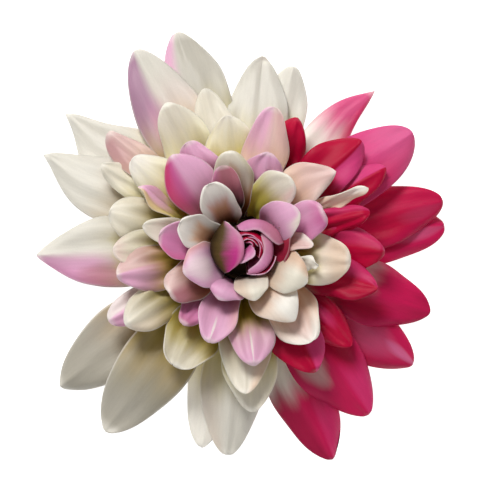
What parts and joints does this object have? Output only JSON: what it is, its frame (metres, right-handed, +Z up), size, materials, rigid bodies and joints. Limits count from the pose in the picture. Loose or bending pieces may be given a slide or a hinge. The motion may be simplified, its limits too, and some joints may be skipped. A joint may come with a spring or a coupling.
{
  "type": "dahlia flower",
  "caption": "Open dahlia flower head of separate pointed cloth petals in tiers round a rolled bud, cream on one side and magenta on the other, on a green calyx.",
  "frame": {"origin": "middle of the foot of the flower's box, on the surface it lies on, 0.7 mm from the flower's own axis", "axes": "+Z up along the flower's axis, out of its face; +Y towards the top of the flower as it is looked at, +X towards its right, the magenta side"},
  "size_m": [0.1234, 0.1304, 0.0361],
  "materials": {
    "petal_cream": "satin cloth, cream with olive claw",
    "petal_pink": "satin cloth, dusty pink shading to mauve",
    "petal_magenta": "satin cloth, crimson to magenta with pale streaks",
    "bud": "satin cloth, pink outside and crimson inside",
    "receptacle": "matt green",
    "calyx": "matt green"
  },
  "bodies": {
    "root": {"outer_01": "petal_cream", "outer_02": "petal_cream", "outer_03": "petal_cream", "outer_04": "petal_cream", "outer_05": "petal_pink", "outer_06": "petal_magenta", "outer_07": "petal_magenta", "outer_08": "petal_magenta", "outer_09": "petal_magenta", "outer_10": "petal_magenta", "outer_11": "petal_magenta", "outer_12": "petal_magenta", "outer_13": "petal_cream", "outer_14": "petal_cream", "outer_15": "petal_cream", "outer_16": "petal_cream", "outer_17": "petal_cream", "outer_18": "petal_cream", "outer_19": "petal_cream", "middle_02": "petal_cream", "middle_03": "petal_cream", "middle_04": "petal_cream", "middle_05": "petal_pink", "middle_07": "petal_magenta", "middle_08": "petal_magenta", "middle_09": "petal_pink", "middle_12": "petal_magenta", "middle_13": "petal_magenta", "middle_14": "petal_magenta", "middle_15": "petal_magenta", "middle_16": "petal_cream", "middle_17": "petal_cream", "middle_18": "petal_cream", "middle_19": "petal_cream", "middle_20": "petal_pink", "middle_21": "petal_pink", "middle_23": "petal_cream", "middle_24": "petal_cream", "middle_25": "petal_cream", "inner_01": "petal_pink", "inner_02": "petal_pink", "inner_04": "petal_pink", "inner_06": "petal_cream", "inner_07": "petal_cream", "inner_08": "petal_pink", "inner_09": "petal_pink", "inner_10": "petal_cream", "inner_11": "petal_pink", "inner_13": "petal_pink", "inner_14": "petal_pink", "inner_15": "petal_cream", "inner_17": "petal_pink", "inner_19": "petal_cream", "inner_21": "petal_cream", "inner_22": "petal_cream", "inner_23": "petal_cream", "inner_24": "petal_pink", "receptacle": "receptacle", "calyx": "calyx", "bud": "bud"}
  },
  "joints": []
}
